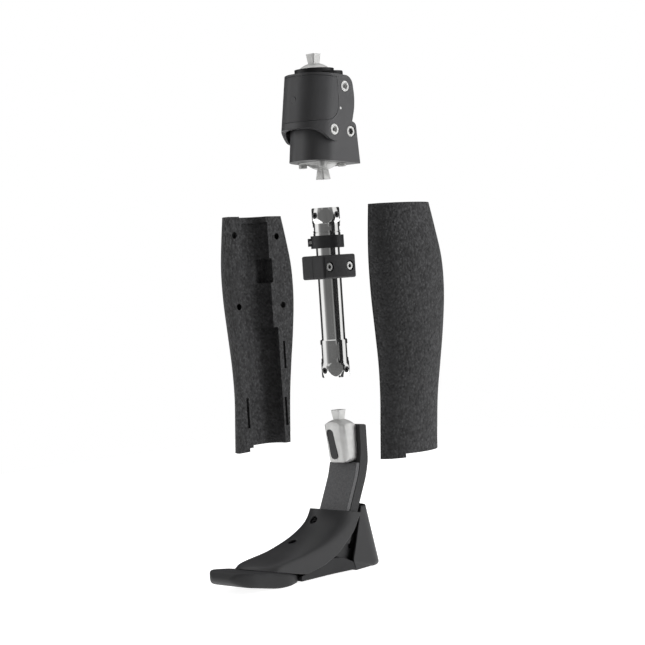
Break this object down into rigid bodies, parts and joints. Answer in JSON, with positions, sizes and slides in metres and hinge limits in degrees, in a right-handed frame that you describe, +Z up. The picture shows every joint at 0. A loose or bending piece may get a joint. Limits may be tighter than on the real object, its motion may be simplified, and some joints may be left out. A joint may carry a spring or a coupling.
{
  "type": "modular leg prosthesis",
  "caption": "Modular above-knee leg prosthesis laid open: carbon foot, steel pylon with pyramid receivers, foam calf halves and a four-bar knee with pyramid adapters.",
  "frame": {"origin": "on the floor under the pylon's axis", "axes": "+Z up along the pylon's axis, -Y toward the toe, +X toward the near calf cover"},
  "size_m": [0.3426, 0.2843, 0.6525],
  "materials": {
    "steel": "polished, faintly brushed",
    "bright_steel": "satin",
    "dark_screw": "black oxide",
    "knee_plastic": "satin",
    "knee_pad": "smooth satin",
    "block_plastic": "matte",
    "foam": "speckled bead foam",
    "blade": "fibre laminate, matte",
    "foot_shell": "matte",
    "sole_rubber": "matte",
    "block_metal": "satin",
    "bush": "smooth",
    "white_mark": "smooth"
  },
  "bodies": {
    "foot": {"heel_cup": "sole_rubber", "waist_sole": "sole_rubber", "toe_pad": "sole_rubber", "keel": "foot_shell", "shank_blade": "blade", "shank_facing": "blade", "instep_cover": "foot_shell", "instep_screws": "dark_screw", "foot_adapter": "bright_steel", "adapter_bolts": "bright_steel"},
    "pylon": {"pylon_tube": "steel", "lower_receiver": "steel", "upper_receiver": "steel", "lower_set_screws": "dark_screw", "upper_set_screws": "dark_screw", "clamp_ring": "block_plastic", "clamp_screw": "bright_steel", "near_clamp_block": "block_plastic", "far_clamp_block": "block_plastic", "block_screws": "bright_steel", "block_nuts": "bright_steel"},
    "near_cover": {"near_cover": "foam"},
    "far_cover": {"far_cover": "foam"},
    "knee_base": {"knee_housing": "knee_plastic", "knee_adapter": "bright_steel", "flange_screws": "bright_steel", "front_bushes": "bush", "rear_axle": "bright_steel", "rear_axle_screws": "dark_screw"},
    "knee_link": {"link_frame": "knee_plastic", "front_pad": "knee_pad", "pad_plug": "knee_plastic", "reference_marks": "white_mark", "front_axle": "bright_steel", "front_axle_screws": "dark_screw", "upper_axles": "bright_steel", "upper_axle_screws": "dark_screw"},
    "thigh": {"thigh_block": "block_metal", "upper_adapter": "bright_steel", "crown_bolt": "dark_screw", "upper_bushes": "bush", "hidden_pin": "bright_steel", "extension_stop": "sole_rubber"},
    "rear_link": {"rear_link": "block_metal"}
  },
  "joints": [
    {"name": "pylon_slide", "type": "slide", "parent": "foot", "child": "pylon", "axis": [0, 0, -1], "range_m": [0, 0.0589]},
    {"name": "knee_slide", "type": "slide", "parent": "pylon", "child": "knee_base", "axis": [0, 0, -1], "range_m": [0, 0.0529]},
    {"name": "near_cover_slide", "type": "slide", "parent": "pylon", "child": "near_cover", "axis": [-1, 0, 0], "range_m": [0, 0.116]},
    {"name": "far_cover_slide", "type": "slide", "parent": "pylon", "child": "far_cover", "axis": [1, 0, 0], "range_m": [0, 0.136]},
    {"name": "front_hinge", "type": "hinge", "parent": "knee_base", "child": "knee_link", "pos_m": [0, -0.0137, 0.554], "axis": [-1, 0, 0], "range_deg": [0, 16.9]},
    {"name": "upper_hinge", "type": "hinge", "parent": "knee_link", "child": "thigh", "pos_m": [0, 0.0096, 0.608], "axis": [-1, 0, 0], "range_deg": [0, 88.2]},
    {"name": "rear_link_hinge", "type": "hinge", "parent": "knee_base", "child": "rear_link", "pos_m": [0, 0.0206, 0.552], "axis": [-1, 0, 0], "range_deg": [0, 13.3]}
  ],
  "couplings": [
    {"joint": "front_hinge", "follows": "upper_hinge", "ratio": 0.19048},
    {"joint": "rear_link_hinge", "follows": "upper_hinge", "ratio": 0.14881}
  ]
}
